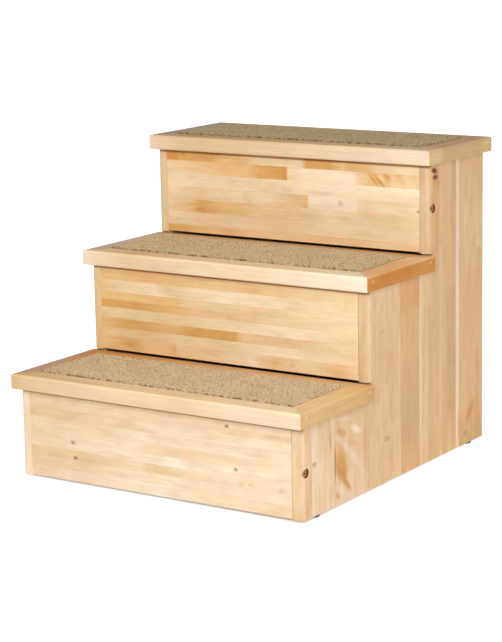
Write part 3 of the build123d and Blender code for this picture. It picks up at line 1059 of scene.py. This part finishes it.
def floor():
    """A white studio floor that glows a little, as a light table does, but not under the stairs.

    The glow is stronger away from the softbox, where the stairs shade the floor.
    """
    finish = Finish("studio_floor")
    place = finish.place()
    side, front = light_side()
    towards = finish.maths("MULTIPLY_ADD", place[SIDE], side, finish.maths("MULTIPLY", place[FRONT], front))
    glow = finish.spread(towards, *FLOOR_GLOW_RUN, FLOOR_GLOW_LIT, FLOOR_GLOW_SHADED)
    beside = [finish.maths("SUBTRACT", finish.maths("ABSOLUTE", place[axis]), edge)
              for axis, edge in zip((SIDE, FRONT), FLOOR_GLOW_EDGES)]
    clear = finish.spread(finish.maths("MAXIMUM", *beside), 0.0, FLOOR_GLOW_FADE, 0.0, 1.0)
    finish.put(finish.shader.inputs["Emission Strength"], finish.maths("MULTIPLY", glow, clear))
    finish.shader.inputs["Emission Color"].default_value = FLOOR_GLOW_TONE
    finish.shader.inputs["Base Color"].default_value = FLOOR_TONE
    finish.shader.inputs["Roughness"].default_value = 1.0
    finish.shader.inputs["Specular IOR Level"].default_value = 0.0
    reach = FLOOR_HALF_WIDTH * MM
    mesh = bpy.data.meshes.new("studio_floor")
    corners = ((-reach, -reach, 0.0), (reach, -reach, 0.0), (reach, reach, 0.0), (-reach, reach, 0.0))
    mesh.from_pydata(corners, [], [(0, 1, 2, 3)])
    mesh.materials.append(finish.material)
    ground = bpy.data.objects.new("studio_floor", mesh)
    bpy.context.scene.collection.objects.link(ground)


def light_side():
    """The level direction from the stairs towards the light."""
    return math.sin(LIGHT_AZIMUTH), -math.cos(LIGHT_AZIMUTH)


def surround():
    """A soft surround, brighter on the light's side, with a pale band at the horizon."""
    world = bpy.data.worlds.new("studio")
    bpy.context.scene.world = world
    world.use_nodes = True
    nodes = world.node_tree.nodes
    links = world.node_tree.links
    background = nodes["Background"]
    background.inputs["Color"].default_value = SURROUND_TONE
    direction = nodes.new("ShaderNodeTexCoord").outputs["Generated"]

    def along(axis, start, end, low, high):
        """The strength goes from low to high as the direction's part along an axis does."""
        part = nodes.new("ShaderNodeVectorMath")
        part.operation = "DOT_PRODUCT"
        links.new(direction, part.inputs[0])
        part.inputs[1].default_value = axis
        strength = nodes.new("ShaderNodeMapRange")
        links.new(part.outputs["Value"], strength.inputs["Value"])
        for name, value in (("From Min", start), ("From Max", end), ("To Min", low), ("To Max", high)):
            strength.inputs[name].default_value = value
        return strength.outputs["Result"]

    stronger = nodes.new("ShaderNodeMath")
    stronger.operation = "MAXIMUM"
    links.new(along((*light_side(), 0.0), -1.0, 1.0, SURROUND_BACK, SURROUND_FRONT), stronger.inputs[0])
    links.new(along((0.0, 0.0, 1.0), *HORIZON_SINES, HORIZON_GLOW, 0.0), stronger.inputs[1])
    links.new(stronger.outputs[0], background.inputs["Strength"])


def turned(angle, axis):
    """A turn about an axis, as a matrix."""
    return Matrix.Rotation(angle, 4, axis)


def key_light():
    """A softbox in front, turned towards the middle of the stairs."""
    light = bpy.data.lights.new("key", "AREA")
    light.shape = "SQUARE"
    light.size = KEY_SIZE * MM
    light.energy = KEY_POWER
    lamp = bpy.data.objects.new("key", light)
    bpy.context.scene.collection.objects.link(lamp)
    side, front = [part * KEY_DISTANCE * MM for part in light_side()]
    down = math.atan2(KEY_HEIGHT - KEY_AIM_HEIGHT, KEY_DISTANCE)
    turn = turned(LIGHT_AZIMUTH, "Z") @ turned(math.pi / 2.0 - down, "X")
    lamp.matrix_world = Matrix.Translation((side, front, KEY_HEIGHT * MM)) @ turn
    lamp.visible_camera = False


def camera():
    """The photograph's camera."""
    lens = bpy.data.cameras.new("photograph")
    lens.lens = FOCAL_LENGTH
    lens.sensor_width = SENSOR_WIDTH
    lens.clip_start, lens.clip_end = CAMERA_REACH
    eye = bpy.data.objects.new("photograph", lens)
    bpy.context.scene.collection.objects.link(eye)
    turn = turned(CAMERA_YAW, "Z") @ turned(math.pi / 2.0 - CAMERA_PITCH, "X") @ turned(CAMERA_ROLL, "Z")
    eye.matrix_world = Matrix.Translation([value * MM for value in CAMERA_PLACE]) @ turn
    bpy.context.scene.camera = eye


def wooden_parts():
    """Risers, panels, rails and the inner pieces."""
    for tier in TIERS:
        dress(f"riser_{tier}", riser_board(tier))
        for side in RAIL_SIDES:
            dress(f"tread_{tier}_{side}_rail", rail_wood(tier, side))
    dress("side_panel_right", panel_board("right", PANEL_STAVES, PANEL_MARKS))
    dress("side_panel_left", panel_board("left", LEFT_PANEL_STAVES))
    dress("back_panel", drawn_board("back_panel", UP, SIDE, BACK_BOARD))
    base = drawn_board("base_boards", SIDE, FRONT, BASE_BOARD)
    inner = plain_wood("inner_cleats", FRONT, "honey", CLEAT_SHIFT)
    for tier in TIERS:
        dress(f"tread_{tier}_base_board", base)
        dress(f"cleat_{tier}_left", inner)
        dress(f"cleat_{tier}_right", inner)
    rear = plain_wood("inner_rails", SIDE, "honey", REAR_RAIL_SHIFT)
    dress("rear_stretcher", rear)
    dress("rear_top_rail", rear)
    tenon = plain_wood("tenons", SIDE, "peach", TENON_SHIFT)
    dress("riser_tenons", tenon)
    dress("rear_rail_tenons", tenon)


def small_parts():
    """Pins, screws and glides."""
    for tier in TIERS:
        dress(f"tread_{tier}_mitre_pins", end_grain(tier))
    dress("riser_screws", bronzed_steel())
    dress("glides", glide_rubber())


def carpets():
    """One carpet for each tread, with its own pile."""
    backing = carpet_backing()
    for seed, tier in enumerate(TIERS, start=1):
        carpet(tier, (carpet_pile(tier), backing), seed)


wooden_parts()
small_parts()
carpets()
floor()
surround()
key_light()
camera()
bpy.context.scene.view_settings.view_transform = "Standard"
